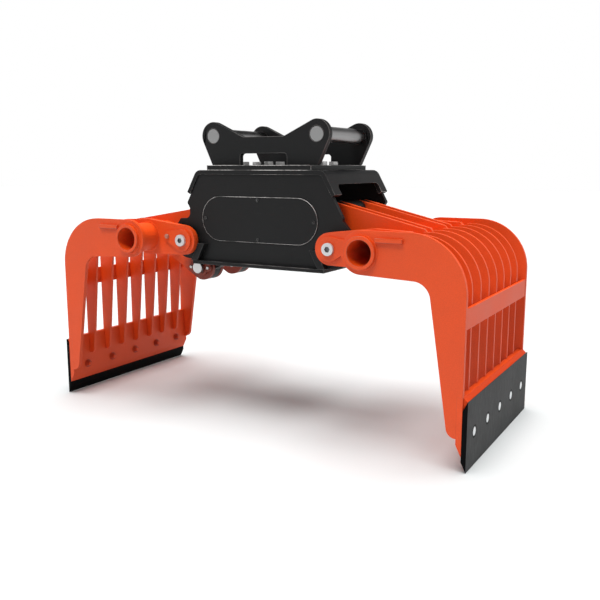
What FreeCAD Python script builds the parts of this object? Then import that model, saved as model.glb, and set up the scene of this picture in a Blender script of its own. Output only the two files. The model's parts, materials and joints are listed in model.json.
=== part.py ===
import FreeCAD, Part
import math
import os
from FreeCAD import Vector

# Sorting grapple, open and standing on its two cutting edges.
# Frame: +X the way the jaws open, +Y across the jaws, +Z up, origin under the middle at floor level.
# Lengths are in millimetres.

# Width over the open jaws, and the jaw pivots, which place everything else
open_width = 1850.0
pivot_x = 343.5
pivot_height = 711.4
pivot_pin_dia = 60.0
bush_wall = 6.0
boss_r = 52.0
boss_length = 24.0
washer_r = 50.0
washer_thickness = 20.0
keeper_thickness = 10.0
keeper_big_r = 46.0
keeper_small_r = 21.0
keeper_screw_dx = 72.9
keeper_screw_dz = 14.1
keeper_bolt_head_dia = 48.0
keeper_bolt_head = 11.0
keeper_bolt_thread = 24.0
keeper_bolt_reach = 36.0
keeper_bolt_socket = 19.0
keeper_bolt_socket_depth = 7.0
keeper_screw_head_dia = 19.0
keeper_screw_head = 7.0
keeper_screw_thread = 12.0
stop_overlap = 9.0
stop_top_drop = 11.0
stop_outer_x = 97.0
stop_slope = 27.3
stop_arm_angle = 29.0

# Levers, cylinder and timing links
lever_pin_setback = 55.5
lever_pin_rise = 126.6
lever_pin_dia = 50.0
lever_pin_proud = 6.0
lever_end_r = 39.0
lever_tube_r = 75.0
lever_thickness = 16.0
lever_inner_y = 70.0
lever_gap = 44.0
lever_rear_inset = 18.0
lever_rear_rise = 22.0
lug_lever_edge_run = 125.4
lug_lever_edge_drop = 8.5
lug_pin_run = 3.5
lug_pin_drop = 126.4
lug_pin_dia = 50.0
lug_pin_proud = 38.0
lug_r = 56.5
lug_boss_r = 37.0
lug_boss_height = 12.0
link_eye_inset = 0.5
link_waist = 52.0
link_side_gap = 2.0
barrel_dia = 120.0
bore_dia = 100.0
barrel_start = 53.0
barrel_end_wall = 14.0
barrel_neck = 70.0
gland_length = 35.0
gland_chamfer = 4.0
piston_length = 50.0
piston_stand_off = 10.0
rod_dia = 60.0
rod_end_thickness = 32.0
rod_end_gap = 11.0
eye_r = 40.0
eye_side_gap = 5.0

# Central body
cylinder_headroom = 83.0
body_half_y = 242.0
shell_thickness = 16.6
shell_inset = 48.5
shell_bend_r = 34.0
flange_angle = 29.0
flange_drop = 89.6
flange_window_gap = 37.0
flange_window_rise = 38.0
flange_window_r = 16.0
body_plate_setback = 6.0
body_plate_thickness = 20.0
plate_skirt_depth = 159.0
plate_shoulder_run = 56.5
plate_shoulder_rise = 69.6
plate_ear_r = 79.0
notch_top_rise = 21.0
notch_bottom_drop = 23.0
notch_run = 36.5
notch_start_rise = 21.6
notch_foot_run = 42.5
notch_r = 24.0
notch_top_r = 12.0
plate_corner_r = 6.0
shoulder_corner_r = 8.0
skirt_drop = 12.0
ear_side_angle = 15.0
floor_drop = 81.9
floor_thickness = 15.0
floor_inset = 34.0
floor_overhang = 24.0
floor_slot_length = 229.5
floor_slot_gap = 8.0
floor_slot_r = 20.0
cover_length = 540.0
cover_height = 180.0
cover_gap = 20.5
cover_thickness = 4.0
cover_screw_inset_x = 17.0
cover_screw_inset_z = 12.5
cover_screw_head_dia = 13.0
cover_screw_head = 3.0
cover_screw_thread = 8.0
cover_screw_socket = 5.0
cover_screw_socket_depth = 2.0

# Hydraulic connections in the rear plate
port_block_width = 130.0
port_block_height = 44.0
port_block_depth = 34.0
port_block_drop = 23.0
port_block_chamfer = 3.0
port_spacing = 70.0
port_dia = 19.0
port_depth = 20.0

# Quick-hitch adapter
hitch_pin_dia = 60.0
hitch_pin_spacing = 480.0
hitch_pin_rise = 117.3
ear_gap = 341.0
ear_thickness = 25.0
ear_boss_r = 55.5
ear_waist_drop = 6.4
ear_waist_half = 94.6
ear_foot_overhang = 2.7
ear_window_half = 109.5
ear_window_rise = 46.2
ear_window_r = 14.0
ear_foot_angle = 22.0
base_plate_inset_x = 51.7
base_plate_inset_y = 0.5
base_plate_thickness = 19.5
base_plate_corner_r = 6.0
hitch_bolt_thread = 24.0
hitch_bolt_flats = 36.0
hitch_bolt_head = 15.0
hitch_bolt_crown_low_r = 26.0
hitch_bolt_crown_high_r = 17.3
hitch_bolt_x_inner = 68.0
hitch_bolt_end_inset = 56.3
hitch_bolt_y = 46.0

# Jaws
tube_run = 184.5
tube_rise = 8.1
tube_dia = 118.0
tube_wall = 13.4
tube_proud = 17.0
side_face = 402.0
side_thickness = 16.0
side_collar_r = 77.0
jaw_shoulder_r = 203.0
jaw_inner_r = 64.0
side_leg_top = 132.2
side_leg_bottom = 50.8
inner_corner_drop = 87.2
side_nose_height = 114.0
side_nose_r = 35.0
rib_count = 7
rib_thickness = 12.0
rib_recess = 14.0
rib_band = 74.5
rib_leg_bottom = 33.0
rib_nose_height = 172.0
rib_nose_r = 20.0
relief_r = 4.0
crossbar_thickness = 12.5
crossbar_bottom = 484.0
crossbar_height = 71.0
carrier_thickness = 20.0
carrier_bottom = 54.0
carrier_bevel = 40.0
carrier_step = 10.7
blade_thickness = 18.0
blade_height = 248.3
blade_bevel = 36.0
blade_bolt_height = 123.0
blade_bolt_inset = 86.0
blade_bolt_count = 5
blade_bolt_head_dia = 32.0
blade_bolt_thread = 16.0
blade_bolt_tip = 4.0
blade_end_inset = 0.8
blade_nut_flats = 24.0
blade_nut_height = 14.0
top_plate_rise = 46.5
top_plate_thickness = 15.0
top_plate_run = 151.0
arm_thickness = 25.0
arm_hub_r = 61.0
arm_tube_r = 74.0
stiffener_start = 55.0
stiffener_end = 156.0
stiffener_rise = 45.7
stiffener_proud = 11.0
stiffener_depth = 17.0
stiffener_chamfer = 2.0

# Clearances, edge breaks, how far a cutting tool passes a face, and tolerances for picking edges and points
pin_chamfer = 2.0
running_gap = 0.05
face_gap = 0.3
stop_gap = 3.0
overshoot = 1.0
near = 1.0
same_point = 1e-6

# Sizes that follow from the ones above
lever_pin_x = pivot_x - lever_pin_setback
lever_pin_height = pivot_height + lever_pin_rise
lug_pin_x = pivot_x + lug_pin_run
lug_pin_height = pivot_height - lug_pin_drop
lever_outer_y = lever_inner_y + lever_thickness + lever_gap
lever_pair_outer = lever_outer_y + lever_thickness
eye_half_width = lever_inner_y - eye_side_gap
rod_neck_start = lever_pin_x - eye_r - rod_end_thickness
barrel_end = rod_neck_start - rod_end_gap - gland_length
shell_under = lever_pin_height + barrel_dia / 2 + cylinder_headroom
body_top = shell_under + shell_thickness
shell_half_x = pivot_x - shell_inset
flange_lean = math.radians(flange_angle)
flange_end_height = body_top - flange_drop
flange_window_top = flange_end_height + flange_window_rise
flange_window_half_y = lever_pair_outer + flange_window_gap
body_plate_face = body_half_y - body_plate_setback
body_plate_back = body_plate_face - body_plate_thickness
pivot_pin_end = body_plate_back - boss_length
plate_skirt_bottom = shell_under - plate_skirt_depth
plate_shoulder = (pivot_x + plate_shoulder_run, pivot_height + plate_shoulder_rise)
notch_top = plate_skirt_bottom + notch_top_rise
notch_bottom = plate_skirt_bottom - notch_bottom_drop
floor_top = pivot_height - floor_drop
floor_half_x = pivot_x - floor_inset
floor_half_y = body_plate_face + floor_overhang
floor_slot_end = floor_slot_length - floor_half_x
port_block_centre = shell_under - port_block_drop - port_block_height / 2
cover_centre_height = port_block_centre - port_block_height / 2 - cover_gap - cover_height / 2
arm_back = body_plate_face + washer_thickness
arm_face = arm_back + arm_thickness
stop_face = arm_back + stop_overlap
base_top = body_top + base_plate_thickness
base_plate_half_x = shell_half_x - base_plate_inset_x
base_plate_half_y = body_half_y - base_plate_inset_y
hitch_pin_height = base_top + hitch_pin_rise
hitch_bolt_x_outer = base_plate_half_x - hitch_bolt_end_inset
ear_waist_height = hitch_pin_height - ear_waist_drop
ear_foot_half = base_plate_half_x + ear_foot_overhang
ear_window_top = base_top + ear_window_rise
ear_inner = ear_gap / 2
ear_outer = ear_inner + ear_thickness
tube_x = pivot_x + tube_run
tube_height = pivot_height + tube_rise
tube_r = tube_dia / 2
tube_half_y = side_face + tube_proud
side_inner = side_face - side_thickness
blade_face_x = open_width / 2
jaw_outer_x = blade_face_x - blade_thickness
jaw_top = tube_height + side_collar_r
inner_corner = (jaw_outer_x - side_leg_top, tube_height - inner_corner_drop)
rib_outer_x = jaw_outer_x - rib_recess
rib_top = jaw_top - rib_recess
rib_pitch = (2 * side_inner + rib_thickness) / (rib_count + 1)
carrier_inner_x = jaw_outer_x - carrier_thickness
carrier_top = blade_height + carrier_step
blade_bolt_pitch = 2 * (side_face - blade_bolt_inset) / (blade_bolt_count - 1)
top_plate_height = tube_height + top_plate_rise
top_plate_end_x = tube_x + top_plate_run
lever_rear = (top_plate_end_x - lever_rear_inset, top_plate_height + lever_rear_rise)
pivot = (pivot_x, pivot_height)
tube = (tube_x, tube_height)
lever_pin = (lever_pin_x, lever_pin_height)
lug_pin = (lug_pin_x, lug_pin_height)


# Outlines in the XZ plane

def corner_arc(before, corner, after, radius):
    """Start, middle and end of the round that replaces a corner."""
    to_before = Vector(before[0] - corner[0], 0, before[1] - corner[1]).normalize()
    to_after = Vector(after[0] - corner[0], 0, after[1] - corner[1]).normalize()
    half = to_before.getAngle(to_after) / 2
    reach = radius / math.tan(half)
    at = Vector(corner[0], 0, corner[1])
    middle_way = (to_before + to_after).normalize()
    middle = at + middle_way * (radius / math.sin(half) - radius)
    return at + to_before * reach, middle, at + to_after * reach


def outline(points):
    """Face from (x, z) or (x, z, corner radius) points in order."""
    edges = []
    first = None
    last = None
    for i, point in enumerate(points):
        before = points[i - 1]
        after = points[(i + 1) % len(points)]
        if len(point) == 3 and point[2] > 0:
            start, middle, end = corner_arc(before, point, after, point[2])
            arc = Part.Arc(start, middle, end).toShape()
        else:
            start = end = Vector(point[0], 0, point[1])
            arc = None
        if last is None:
            first = start
        elif (start - last).Length > same_point:
            edges.append(Part.LineSegment(last, start).toShape())
        if arc:
            edges.append(arc)
        last = end
    if (first - last).Length > same_point:
        edges.append(Part.LineSegment(last, first).toShape())
    return Part.Face(Part.Wire(edges))


def disc(centre, radius):
    circle = Part.Circle(Vector(centre[0], 0, centre[1]), Vector(0, 1, 0), radius)
    return Part.Face(Part.Wire(circle.toShape()))


def strap(centre_a, radius_a, centre_b, radius_b):
    """Face of two round ends joined by their outer tangents."""
    run = Vector(centre_b[0] - centre_a[0], 0, centre_b[1] - centre_a[1])
    way = math.atan2(run.z, run.x)
    spread = math.acos((radius_a - radius_b) / run.Length)

    def rim(centre, radius, angle):
        return Vector(centre[0] + radius * math.cos(angle), 0, centre[1] + radius * math.sin(angle))

    upper = way + spread
    lower = way - spread
    edges = [
        Part.LineSegment(rim(centre_a, radius_a, lower), rim(centre_b, radius_b, lower)).toShape(),
        Part.Arc(rim(centre_b, radius_b, lower), rim(centre_b, radius_b, way),
                 rim(centre_b, radius_b, upper)).toShape(),
        Part.LineSegment(rim(centre_b, radius_b, upper), rim(centre_a, radius_a, upper)).toShape(),
        Part.Arc(rim(centre_a, radius_a, upper), rim(centre_a, radius_a, way + math.pi),
                 rim(centre_a, radius_a, lower)).toShape(),
    ]
    return Part.Face(Part.Wire(edges))


def tangent_point(point, centre, radius, side):
    """Where the straight edge from a point to the right touches a round end, above (1) or below (-1)."""
    run = math.hypot(point[0] - centre[0], point[1] - centre[1])
    way = math.atan2(point[1] - centre[1], point[0] - centre[0]) + side * math.acos(radius / run)
    return centre[0] + radius * math.cos(way), centre[1] + radius * math.sin(way)


def rectangle(x0, x1, z0, z1):
    return outline([(x0, z0), (x1, z0), (x1, z1), (x0, z1)])


# Solids

def upright(edge):
    return abs(edge.tangentAt(edge.FirstParameter).z) > 0.9


def rims(solid):
    return [edge for edge in solid.Edges if edge.Closed]


def plate(face, y0, y1):
    """Flat plate with a given outline between two planes across the jaws."""
    layers = [part.extrude(Vector(0, y1 - y0, 0)) for part in face.Faces]
    solid = join(*layers) if len(layers) > 1 else layers[0]
    solid.translate(Vector(0, y0, 0))
    return solid


def rod_y(centre, radius, y0, y1):
    low = min(y0, y1)
    return Part.makeCylinder(radius, abs(y1 - y0), Vector(centre[0], low, centre[1]), Vector(0, 1, 0))


def rod_x(x0, x1, y, z, radius):
    return Part.makeCylinder(radius, x1 - x0, Vector(x0, y, z), Vector(1, 0, 0))


def box(x0, x1, y0, y1, z0, z1):
    return Part.makeBox(x1 - x0, y1 - y0, z1 - z0, Vector(x0, y0, z0))


def hexagon(centre, way, flats, length):
    """Hexagonal prism that starts at a point and runs along a direction."""
    radius = flats / math.sqrt(3)
    prism = Part.Face(Part.makePolygon([
        Vector(radius * math.cos(math.radians(60 * i)), radius * math.sin(math.radians(60 * i)), 0)
        for i in range(7)])).extrude(Vector(0, 0, length))
    prism.Placement = FreeCAD.Placement(centre, FreeCAD.Rotation(Vector(0, 0, 1), way))
    return prism


def cut(solid, *tools):
    for tool in tools:
        solid = solid.cut(tool)
    return solid


def join(*solids):
    whole = solids[0]
    for solid in solids[1:]:
        whole = whole.fuse(solid)
    return whole.removeSplitter()


def flip_x(shape):
    return shape.mirror(Vector(0, 0, 0), Vector(1, 0, 0))


def flip_y(shape):
    return shape.mirror(Vector(0, 0, 0), Vector(0, 1, 0))


def both_y(*solids):
    """Solids and their copies on the other side of the middle plane."""
    return list(solids) + [flip_y(solid) for solid in solids]


def four_corners(solid):
    return both_y(solid, flip_x(solid))


# Quick-hitch adapter

def ear_outline():
    slope_run = hitch_pin_spacing / 2 - ear_waist_half
    slope_rise = hitch_pin_height - ear_waist_height
    reach = math.hypot(slope_run, slope_rise)
    lift = math.atan2(slope_rise, slope_run) + math.asin(ear_boss_r / reach)
    tangent = math.sqrt(reach ** 2 - ear_boss_r ** 2)
    top_x = ear_waist_half + tangent * math.cos(lift)
    top_z = ear_waist_height + tangent * math.sin(lift)
    half = outline([
        (0, ear_waist_height), (ear_waist_half, ear_waist_height), (top_x, top_z),
        (hitch_pin_spacing / 2, hitch_pin_height),
        (hitch_pin_spacing / 2 + ear_boss_r * math.cos(math.radians(ear_foot_angle)),
         hitch_pin_height - ear_boss_r * math.sin(math.radians(ear_foot_angle))),
        (ear_foot_half, base_top), (0, base_top)])
    half = half.fuse(disc((hitch_pin_spacing / 2, hitch_pin_height), ear_boss_r))
    return half.fuse(flip_x(half)).removeSplitter()


def hitch_ear(side):
    window = outline([(-ear_window_half, base_top), (ear_window_half, base_top),
                      (ear_window_half, ear_window_top, ear_window_r),
                      (-ear_window_half, ear_window_top, ear_window_r)])
    ear = plate(ear_outline().cut(window), ear_inner, ear_outer)
    for x in (-1, 1):
        centre = (x * hitch_pin_spacing / 2, hitch_pin_height)
        ear = ear.cut(rod_y(centre, hitch_pin_dia / 2, ear_inner, ear_outer))
    return ear if side > 0 else flip_y(ear)


def hitch_pin(side):
    centre = (side * hitch_pin_spacing / 2, hitch_pin_height)
    pin = rod_y(centre, hitch_pin_dia / 2, -ear_outer, ear_outer)
    return pin.makeChamfer(pin_chamfer, rims(pin))


def hitch_bolt_places():
    return [(x * run, y * hitch_bolt_y) for x in (-1, 1) for y in (-1, 1)
            for run in (hitch_bolt_x_inner, hitch_bolt_x_outer)]


def drilled_for_hitch_bolts(solid, radius):
    for x, y in hitch_bolt_places():
        hole = Part.makeCylinder(radius, base_top - shell_under, Vector(x, y, shell_under))
        solid = solid.cut(hole)
    return solid


def hitch_base_plate():
    slab = box(-base_plate_half_x, base_plate_half_x, -base_plate_half_y, base_plate_half_y,
               body_top, base_top)
    slab = slab.makeFillet(base_plate_corner_r, [e for e in slab.Edges if upright(e)])
    return drilled_for_hitch_bolts(slab, hitch_bolt_thread / 2)


def hitch_bolts():
    bolts = []
    for x, y in hitch_bolt_places():
        head = hexagon(Vector(x, y, base_top), Vector(0, 0, 1), hitch_bolt_flats, hitch_bolt_head)
        crown = Part.makeCone(hitch_bolt_crown_low_r, hitch_bolt_crown_high_r, hitch_bolt_head,
                              Vector(x, y, base_top))
        shank = Part.makeCylinder(hitch_bolt_thread / 2, base_top - shell_under, Vector(x, y, shell_under))
        bolts.append(join(head.common(crown), shank))
    return bolts


# Central body

def flange_x(height, inner):
    """X of the leaning end flange's face at a height."""
    bend_top = body_top - shell_thickness if inner else body_top
    offset = shell_thickness * math.tan((math.pi / 2 - flange_lean) / 2) if inner else 0
    return shell_half_x - offset + (bend_top - height) * math.tan(flange_lean)


def shell_outline():
    end_drop = shell_thickness * math.sin(flange_lean)
    outer_end = (flange_x(flange_end_height, False), flange_end_height)
    inner_end = (outer_end[0] - shell_thickness * math.cos(flange_lean), flange_end_height - end_drop)
    return [(-shell_half_x, body_top, shell_bend_r), (shell_half_x, body_top, shell_bend_r),
            outer_end, inner_end,
            (flange_x(shell_under, True), shell_under, shell_bend_r - shell_thickness),
            (-flange_x(shell_under, True), shell_under, shell_bend_r - shell_thickness),
            (-inner_end[0], inner_end[1]), (-outer_end[0], outer_end[1])]


def body_shell():
    shell = plate(outline(shell_outline()), -body_half_y, body_half_y)
    window = box(shell_half_x, shell_half_x + flange_drop, -flange_window_half_y, flange_window_half_y,
                 flange_end_height - shell_thickness, flange_window_top)
    corners = [e for e in window.Edges if abs(e.tangentAt(e.FirstParameter).x) > 0.9
               and e.BoundBox.ZMin > flange_end_height]
    window = window.makeFillet(flange_window_r, corners)
    shell = cut(shell, window, flip_x(window))
    return drilled_for_hitch_bolts(shell, hitch_bolt_thread / 2)


def body_plate_outline():
    skirt_x = flange_x(plate_skirt_bottom, True)
    notch_start_height = notch_top + notch_start_rise
    notch_start_x = -flange_x(notch_start_height, True)
    notch_x = -(skirt_x - notch_run)
    lean = math.radians(ear_side_angle)
    ear_side = (pivot_x + plate_ear_r * math.cos(lean), pivot_height + plate_ear_r * math.sin(lean))
    ear_foot = (pivot_x, pivot_height - plate_ear_r)
    half_top = flange_x(shell_under, True)
    top_r = shell_bend_r - shell_thickness
    face = outline([
        (half_top, shell_under, top_r), (skirt_x, plate_skirt_bottom, plate_corner_r),
        (skirt_x, plate_skirt_bottom - skirt_drop, plate_corner_r),
        (*plate_shoulder, shoulder_corner_r), ear_side, pivot, ear_foot,
        (floor_half_x, floor_top), (-floor_half_x, floor_top), (-ear_foot[0], ear_foot[1]),
        (-pivot[0], pivot[1]), (-ear_side[0], ear_side[1]),
        (-plate_shoulder[0], plate_shoulder[1], shoulder_corner_r),
        (-pivot_x - notch_foot_run, notch_bottom, plate_corner_r), (notch_x, notch_bottom, notch_r),
        (notch_x, notch_top, notch_top_r), (notch_start_x, notch_start_height, shoulder_corner_r),
        (-half_top, shell_under, top_r)])
    for side in (-1, 1):
        face = face.fuse(disc((side * pivot_x, pivot_height), plate_ear_r))
    return face.removeSplitter()


def cover_screw_places():
    half_x = cover_length / 2 - cover_screw_inset_x
    half_z = cover_height / 2 - cover_screw_inset_z
    return [(half_x, cover_centre_height), (-half_x, cover_centre_height),
            (0, cover_centre_height + half_z), (0, cover_centre_height - half_z)]


def body_plate():
    solid = plate(body_plate_outline(), -body_plate_face, -body_plate_back)
    for side in (-1, 1):
        centre = (side * pivot_x, pivot_height)
        solid = solid.fuse(rod_y(centre, boss_r, -body_plate_back, -pivot_pin_end))
        solid = solid.cut(rod_y(centre, pivot_pin_dia / 2 + bush_wall, -body_plate_face, -pivot_pin_end))
    for place in cover_screw_places():
        solid = solid.cut(rod_y(place, cover_screw_thread / 2, -body_plate_face, -body_plate_back))
    return solid


def turned_half(shape):
    """Same piece on the rear side, turned half a turn about the upright axis."""
    return shape.copy().rotate(Vector(0, 0, 0), Vector(0, 0, 1), 180)


def body_floor():
    slab = box(-floor_half_x, floor_half_x, -floor_half_y, floor_half_y,
               floor_top - floor_thickness, floor_top)
    slot_low = lever_inner_y - floor_slot_gap
    slot_high = lever_pair_outer + lug_pin_proud + floor_slot_gap
    slot = box(-floor_half_x - overshoot, floor_slot_end, slot_low, slot_high,
               floor_top - floor_thickness, floor_top)
    corners = [e for e in slot.Edges if upright(e) and e.BoundBox.XMin > floor_slot_end - near]
    slot = slot.makeFillet(floor_slot_r, corners)
    slab = cut(slab, slot, flip_y(slot))
    for side in (-1, 1):
        post = rod_y((side * pivot_x, pivot_height), plate_ear_r, -body_plate_face, -body_plate_back)
        slab = cut(slab, post, flip_y(post))
    return slab


def cover():
    half = cover_length / 2 - cover_height / 2
    end_r = cover_height / 2
    face = strap((-half, cover_centre_height), end_r, (half, cover_centre_height), end_r)
    solid = plate(face, -body_plate_face - cover_thickness, -body_plate_face)
    for place in cover_screw_places():
        solid = solid.cut(rod_y(place, cover_screw_thread / 2, -body_plate_face - cover_thickness,
                                -body_plate_face))
    return solid


def cover_screws():
    screws = []
    front = -body_plate_face - cover_thickness
    for place in cover_screw_places():
        head = rod_y(place, cover_screw_head_dia / 2, front - cover_screw_head, front)
        socket = hexagon(Vector(place[0], front - cover_screw_head, place[1]), Vector(0, 1, 0),
                         cover_screw_socket, cover_screw_socket_depth)
        shank = rod_y(place, cover_screw_thread / 2, front, -body_plate_back)
        screws.append(join(head, shank).cut(socket))
    return screws + [turned_half(screw) for screw in screws]


def pivot_bushes():
    bush = rod_y(pivot, pivot_pin_dia / 2 + bush_wall, -body_plate_face, -pivot_pin_end)
    bush = bush.cut(rod_y(pivot, pivot_pin_dia / 2 + running_gap, -body_plate_face, -pivot_pin_end))
    return four_corners(bush)


def thrust_washers():
    ring = rod_y(pivot, washer_r, -arm_back + face_gap, -body_plate_face)
    ring = ring.cut(rod_y(pivot, pivot_pin_dia / 2 + running_gap, -arm_back + face_gap, -body_plate_face))
    return four_corners(ring)


def closing_stops():
    """Blocks on the body plates that the closing arms come up against."""
    lean = math.tan(math.radians(stop_slope))
    drop = pivot_height - floor_top
    arm_edge = math.radians(stop_arm_angle)
    hub_side = arm_hub_r + stop_gap
    inner_top = (hub_side * math.cos(arm_edge), -hub_side * math.sin(arm_edge))
    run_down = drop + inner_top[1]
    corners = [(stop_outer_x, -stop_top_drop), (stop_outer_x - (drop - stop_top_drop) * lean, -drop),
               (inner_top[0] - run_down * math.tan(arm_edge), -drop), inner_top,
               (hub_side, -stop_top_drop)]
    face = outline([(pivot_x - x, pivot_height + z) for x, z in corners])
    face = face.cut(disc(pivot, hub_side))
    return four_corners(plate(face, -stop_face, -body_plate_face))


def port_places():
    return [(-port_spacing / 2, port_block_centre), (port_spacing / 2, port_block_centre)]


def port_block():
    outer = body_plate_face + port_block_depth
    block = box(-port_block_width / 2, port_block_width / 2, body_plate_face, outer,
                port_block_centre - port_block_height / 2, port_block_centre + port_block_height / 2)
    block = block.makeChamfer(port_block_chamfer, [e for e in block.Edges if e.BoundBox.YMin > outer - near])
    for place in port_places():
        block = block.cut(rod_y(place, port_dia / 2, outer - port_depth, outer))
    return block


# Jaws, drawn for the +X side

def jaw_outline(outer_x, nose, nose_r, corner, corner_r, start_above, start_below):
    """Band from the torque tube over the shoulder and down to the cutting edge."""
    shoulder_r = jaw_shoulder_r - (jaw_outer_x - outer_x)
    return outline([start_above, (outer_x, start_above[1], shoulder_r), (outer_x, carrier_top),
                    (carrier_inner_x, carrier_top), (carrier_inner_x, nose[1]), (*nose, nose_r),
                    (*corner, corner_r), start_below])


def side_plate():
    """Side plate whose round end is the collar around the torque tube."""
    start_x = tube_x - side_collar_r
    touch = tangent_point(inner_corner, tube, side_collar_r, -1)
    slope = (inner_corner[1] - touch[1]) / (inner_corner[0] - touch[0])
    start_below = (start_x, touch[1] + slope * (start_x - touch[0]), side_collar_r)
    face = jaw_outline(jaw_outer_x, (jaw_outer_x - side_leg_bottom, side_nose_height), side_nose_r,
                       inner_corner, jaw_inner_r, (start_x, jaw_top, side_collar_r), start_below)
    return plate(face.cut(disc(tube, tube_r)).cut(plate_end_relief()), -side_face, -side_inner)


def plate_end_relief():
    """Small round hole at the top plate's end corner, where the welds meet."""
    return disc((top_plate_end_x, top_plate_height), relief_r)


def stiffener_bar():
    low = tube_height + stiffener_rise - stiffener_depth / 2
    front = -side_face - stiffener_proud
    bar = box(tube_x + stiffener_start, tube_x + stiffener_end, front, -side_face, low, low + stiffener_depth)
    bar = bar.makeChamfer(stiffener_chamfer, [e for e in bar.Edges if e.BoundBox.YMax < front + near])
    return bar.cut(rod_y(tube, tube_r, -tube_half_y, -side_face))


def rib_face():
    """Slimmer band than the side plates, with an even depth round the shoulder."""
    shoulder_r = jaw_shoulder_r - rib_recess
    taper = (rib_band - rib_leg_bottom) / (rib_top - shoulder_r - rib_nose_height)
    underside = rib_top - rib_band
    corner = (rib_outer_x - rib_leg_bottom - taper * (underside - rib_nose_height), underside)
    face = jaw_outline(rib_outer_x, (rib_outer_x - rib_leg_bottom, rib_nose_height), rib_nose_r,
                       corner, shoulder_r - rib_band, (tube_x, rib_top), (tube_x, underside))
    over_plate = rectangle(tube_x, top_plate_end_x, top_plate_height - top_plate_thickness, jaw_top)
    return face.cut(over_plate).cut(disc(tube, tube_r)).cut(plate_end_relief())


def ribs():
    face = rib_face()
    first = -(rib_count - 1) / 2 * rib_pitch
    places = [first + i * rib_pitch for i in range(rib_count)]
    return [plate(face, y - rib_thickness / 2, y + rib_thickness / 2) for y in places]


def crossbar():
    return box(rib_outer_x, rib_outer_x + crossbar_thickness, -side_inner, side_inner,
               crossbar_bottom, crossbar_bottom + crossbar_height)


def blade_bolt_places():
    first = -(blade_bolt_count - 1) / 2 * blade_bolt_pitch
    return [first + i * blade_bolt_pitch for i in range(blade_bolt_count)]


def edge_carrier():
    face = outline([(carrier_inner_x, carrier_bottom + carrier_bevel), (jaw_outer_x, carrier_bottom),
                    (jaw_outer_x, carrier_top), (carrier_inner_x, carrier_top)])
    solid = plate(face, -side_face, side_face)
    for y in blade_bolt_places():
        solid = solid.cut(rod_x(carrier_inner_x, jaw_outer_x, y, blade_bolt_height, blade_bolt_thread / 2))
    return solid


def blade_bolt(y):
    """Flat-headed bolt that sits flush in the blade's outer face."""
    head_depth = (blade_bolt_head_dia - blade_bolt_thread) / 2
    tip = carrier_inner_x - blade_nut_height - blade_bolt_tip
    shank = rod_x(tip, blade_face_x - head_depth, y, blade_bolt_height, blade_bolt_thread / 2)
    head = Part.makeCone(blade_bolt_thread / 2, blade_bolt_head_dia / 2, head_depth,
                         Vector(blade_face_x - head_depth, y, blade_bolt_height), Vector(1, 0, 0))
    return join(shank, head)


def blade():
    face = outline([(jaw_outer_x, blade_bevel), (blade_face_x, 0), (blade_face_x, blade_height),
                    (jaw_outer_x, blade_height - blade_bevel)])
    solid = plate(face, -side_face + blade_end_inset, side_face - blade_end_inset)
    for y in blade_bolt_places():
        solid = solid.cut(blade_bolt(y))
    return solid


def blade_nuts():
    nuts = []
    for y in blade_bolt_places():
        start = carrier_inner_x - blade_nut_height
        nut = hexagon(Vector(start, y, blade_bolt_height), Vector(1, 0, 0), blade_nut_flats, blade_nut_height)
        nuts.append(nut.cut(rod_x(start, carrier_inner_x, y, blade_bolt_height, blade_bolt_thread / 2)))
    return nuts


def torque_tube():
    outer = rod_y(tube, tube_r, -tube_half_y, tube_half_y)
    return outer.cut(rod_y(tube, tube_r - tube_wall, -tube_half_y, tube_half_y))


def top_plate():
    slab = box(tube_x, top_plate_end_x, -side_inner, side_inner,
               top_plate_height - top_plate_thickness, top_plate_height)
    return slab.cut(rod_y(tube, tube_r, -side_inner, side_inner))


def rear_run():
    """Part of an arm or lever that stands on the top plate behind the tube."""
    return outline([(tube_x, tube_height), (top_plate_end_x, top_plate_height),
                    lever_rear, (tube_x, tube_height + arm_tube_r)])


def behind_tube():
    low = pivot_height - lever_tube_r - lug_r
    return rectangle(tube_x, top_plate_end_x + overshoot, low, top_plate_height)


def pivot_arm():
    face = strap(pivot, arm_hub_r, tube, arm_tube_r).fuse(rear_run()).removeSplitter()
    end = top_plate_end_x + overshoot
    under_plate = rectangle(tube_x, end, top_plate_height - top_plate_thickness, top_plate_height)
    below = rectangle(tube_x + arm_tube_r, end, tube_height - arm_tube_r, top_plate_height)
    face = face.cut(under_plate).cut(below).cut(disc(tube, tube_r))
    solid = plate(face, -arm_face, -arm_back)
    solid = solid.cut(rod_y(pivot, pivot_pin_dia / 2, -arm_face, -arm_back))
    screw_at = keeper_screw_place()
    return solid.cut(rod_y(screw_at, keeper_screw_thread / 2, -arm_face, -arm_back))


def pivot_pins():
    pin = rod_y(pivot, pivot_pin_dia / 2, -arm_face, -pivot_pin_end)
    pin = pin.makeChamfer(pin_chamfer, [e for e in rims(pin) if e.BoundBox.YMin > -pivot_pin_end - near])
    hole = rod_y(pivot, keeper_bolt_thread / 2, -arm_face, -arm_face + keeper_bolt_reach)
    return both_y(pin.cut(hole))


def keeper_screw_place():
    return pivot_x + keeper_screw_dx, pivot_height + keeper_screw_dz


def keeper_plates():
    face = strap(pivot, keeper_big_r, keeper_screw_place(), keeper_small_r)
    front = -arm_face - keeper_thickness
    solid = plate(face, front, -arm_face)
    solid = cut(solid, rod_y(pivot, keeper_bolt_thread / 2, front, -arm_face),
                rod_y(keeper_screw_place(), keeper_screw_thread / 2, front, -arm_face))
    return both_y(solid)


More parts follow.
